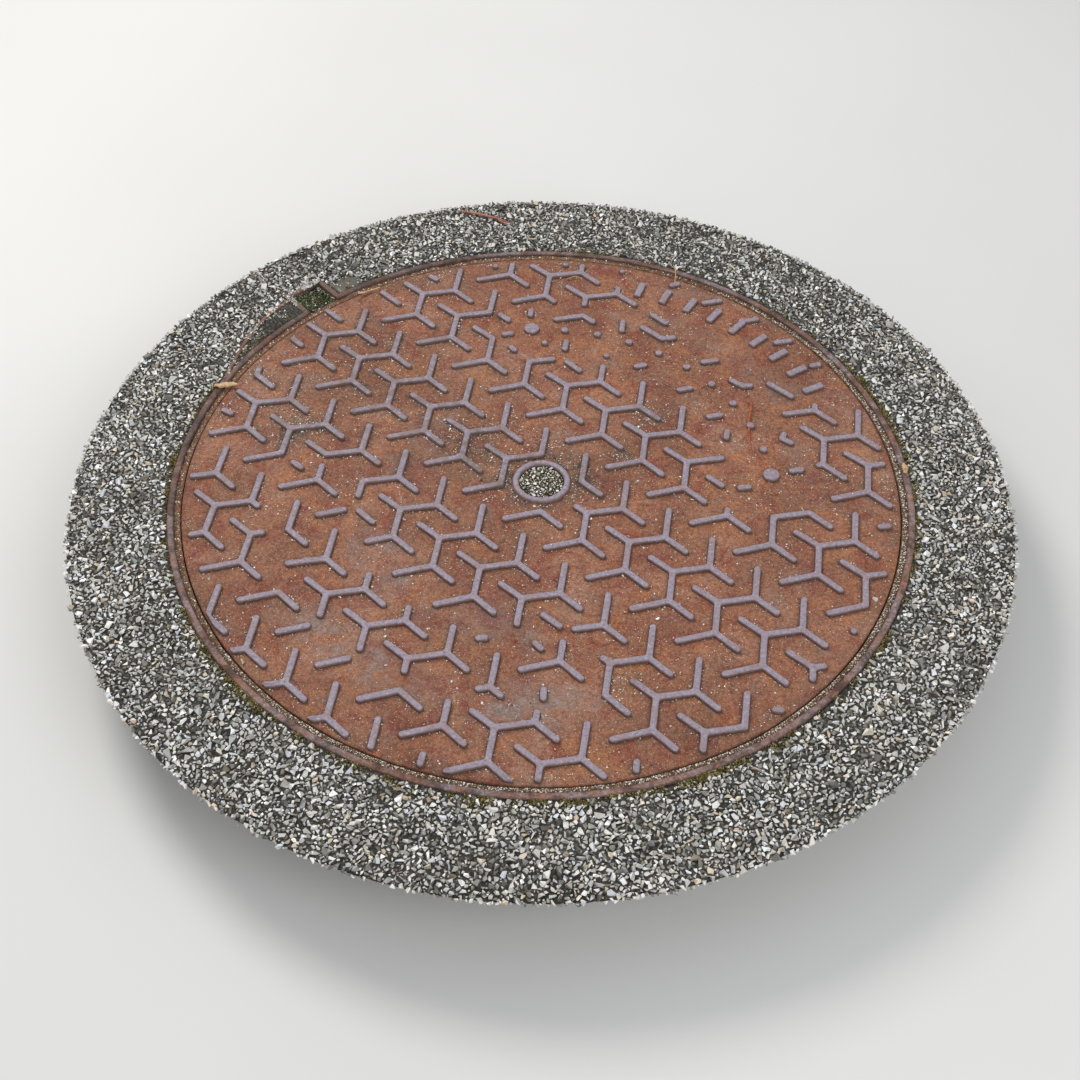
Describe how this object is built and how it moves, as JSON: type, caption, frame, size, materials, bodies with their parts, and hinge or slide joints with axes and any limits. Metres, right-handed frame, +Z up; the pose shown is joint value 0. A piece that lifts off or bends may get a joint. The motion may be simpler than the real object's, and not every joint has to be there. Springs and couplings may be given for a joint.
{
  "type": "manhole cover",
  "caption": "Round lift-off cast iron manhole cover with raised Y-shaped tread and a ringed lifting socket, in its frame with a pry pocket, set in a disc of asphalt.",
  "frame": {"origin": "centre of the underside of the mortar bed, on the vertical axis of the cover and its frame", "axes": "+Z up, through the middle of the cover; +Y away from a person who stands at the near edge and has the pry pocket at the back left; +X to that person's right"},
  "size_m": [0.8539, 0.854, 0.089],
  "materials": {
    "cover_iron": "matte",
    "cup_steel": "matte",
    "bar_steel": "matte",
    "seat_rubber": "matte",
    "frame_iron": "matte",
    "mortar": "matte",
    "concrete": "matte",
    "asphalt": "matte"
  },
  "bodies": {
    "frame_set": {"frame_casting": "frame_iron", "pocket_casting": "frame_iron", "seat_ring": "seat_rubber", "mortar_bed": "mortar", "concrete_haunch": "concrete", "asphalt_surround": "asphalt"},
    "cover_set": {"cover_casting": "cover_iron", "key_cup": "cup_steel", "lifting_bar": "bar_steel"}
  },
  "joints": [
    {"name": "cover_lift", "type": "slide", "parent": "frame_set", "child": "cover_set", "axis": [0, 0, 1], "range_m": [0, 0.16]}
  ]
}
